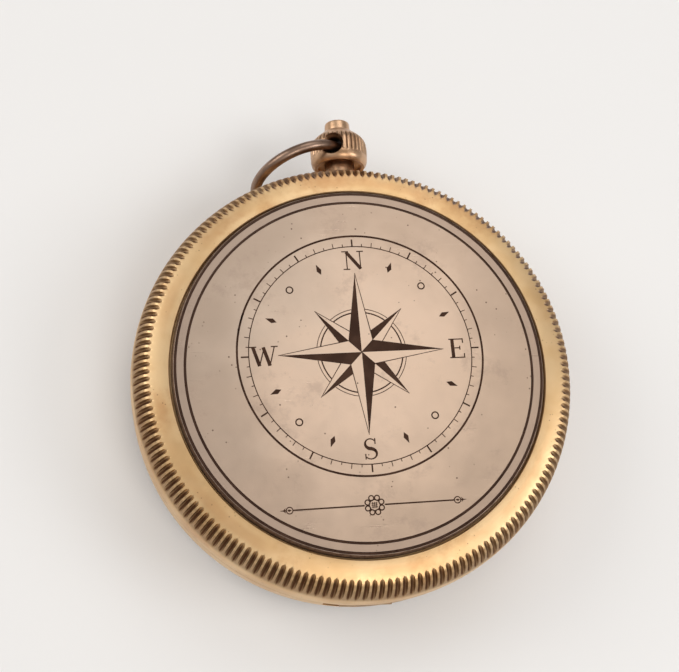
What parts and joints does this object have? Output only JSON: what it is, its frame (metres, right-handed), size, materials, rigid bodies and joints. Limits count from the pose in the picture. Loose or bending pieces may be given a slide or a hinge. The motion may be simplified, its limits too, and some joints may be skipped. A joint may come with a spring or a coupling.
{
  "type": "pocket compass",
  "caption": "Round pocket compass in a hinged brass case with an engraved lid, a fluted crown with push button, and a wire bow.",
  "frame": {"origin": "centre of the flat back that the closed compass lies on", "axes": "+Z out through the lid's engraved face, +Y towards the crown, +X to the right when the lid is seen with the crown up"},
  "size_m": [0.076, 0.0873, 0.0237],
  "materials": {
    "case_brass": "antique brass, satin, with darker notches and coppery patina",
    "bronzed_plate": "bronzed brass plate, dull, lightly scratched, with dark engraving",
    "polished_brass": "polished brass",
    "works_brass": "plain machined brass",
    "crown_brass": "aged brass, brownish, with dark flutes",
    "bow_bronze": "brown-grey aged wire, smooth",
    "steel": "turned steel",
    "spring_steel": "tempered spring steel",
    "blued_steel": "heat-blued steel with a light south end",
    "dial_enamel": "ivory enamel with dark markings",
    "ring_enamel": "black enamel with light degree marks",
    "gasket_rubber": "black rubber",
    "clear_glass": "clear flat glass",
    "ruby_jewel": "polished red jewel"
  },
  "bodies": {
    "case": {"base_shell": "case_brass", "back_plate": "bronzed_plate", "case_knuckles": "works_brass", "hinge_pin": "steel", "lid_spring": "spring_steel", "lid_spring_screws": "steel", "pendant_neck": "crown_brass", "pendant_nut": "works_brass", "crown_knob": "crown_brass", "button_spring": "spring_steel", "latch_bracket": "works_brass", "latch_pin": "steel", "latch_screws": "steel", "compass_cup": "polished_brass", "cup_screws": "steel", "dial_card": "dial_enamel", "chapter_ring": "ring_enamel", "glass_gasket": "gasket_rubber", "glass": "clear_glass", "glass_ring": "polished_brass", "pivot_post": "steel", "deck_ring": "polished_brass", "deck_screws": "steel"},
    "lid": {"lid_ring": "case_brass", "lid_plate": "bronzed_plate", "lid_lining": "polished_brass", "lid_catch": "works_brass", "lid_knuckle": "works_brass"},
    "button": {"push_button": "crown_brass", "button_stem": "steel"},
    "latch": {"latch_lever": "spring_steel"},
    "needle": {"needle": "blued_steel", "needle_cap": "polished_brass", "needle_jewel": "ruby_jewel"},
    "bow": {"bow": "bow_bronze"}
  },
  "joints": [
    {"name": "lid_hinge", "type": "hinge", "parent": "case", "child": "lid", "pos_m": [0, -0.0365, 0.0118], "axis": [1, 0, 0], "range_deg": [0, 100]},
    {"name": "button_press", "type": "slide", "parent": "case", "child": "button", "axis": [0, -1, 0], "range_m": [0, 0.0009], "stiffness_N_per_m": 800, "springref_m": -0.0005, "deforming": ["button_spring"]},
    {"name": "latch_turn", "type": "hinge", "parent": "case", "child": "latch", "pos_m": [0, 0.0322, 0.0075], "axis": [1, 0, 0], "range_deg": [0, 9.5]},
    {"name": "needle_spin", "type": "hinge", "parent": "case", "child": "needle", "pos_m": [0, 0, 0.0083], "axis": [0, 0, 1], "continuous": true},
    {"name": "bow_swing", "type": "hinge", "parent": "case", "child": "bow", "pos_m": [0, 0.04338, 0.013], "axis": [0.3746, 0, -0.9272], "range_deg": [-2, 224]}
  ],
  "couplings": [
    {"joint": "latch_turn", "follows": "button_press", "rad_per_m": 180}
  ]
}
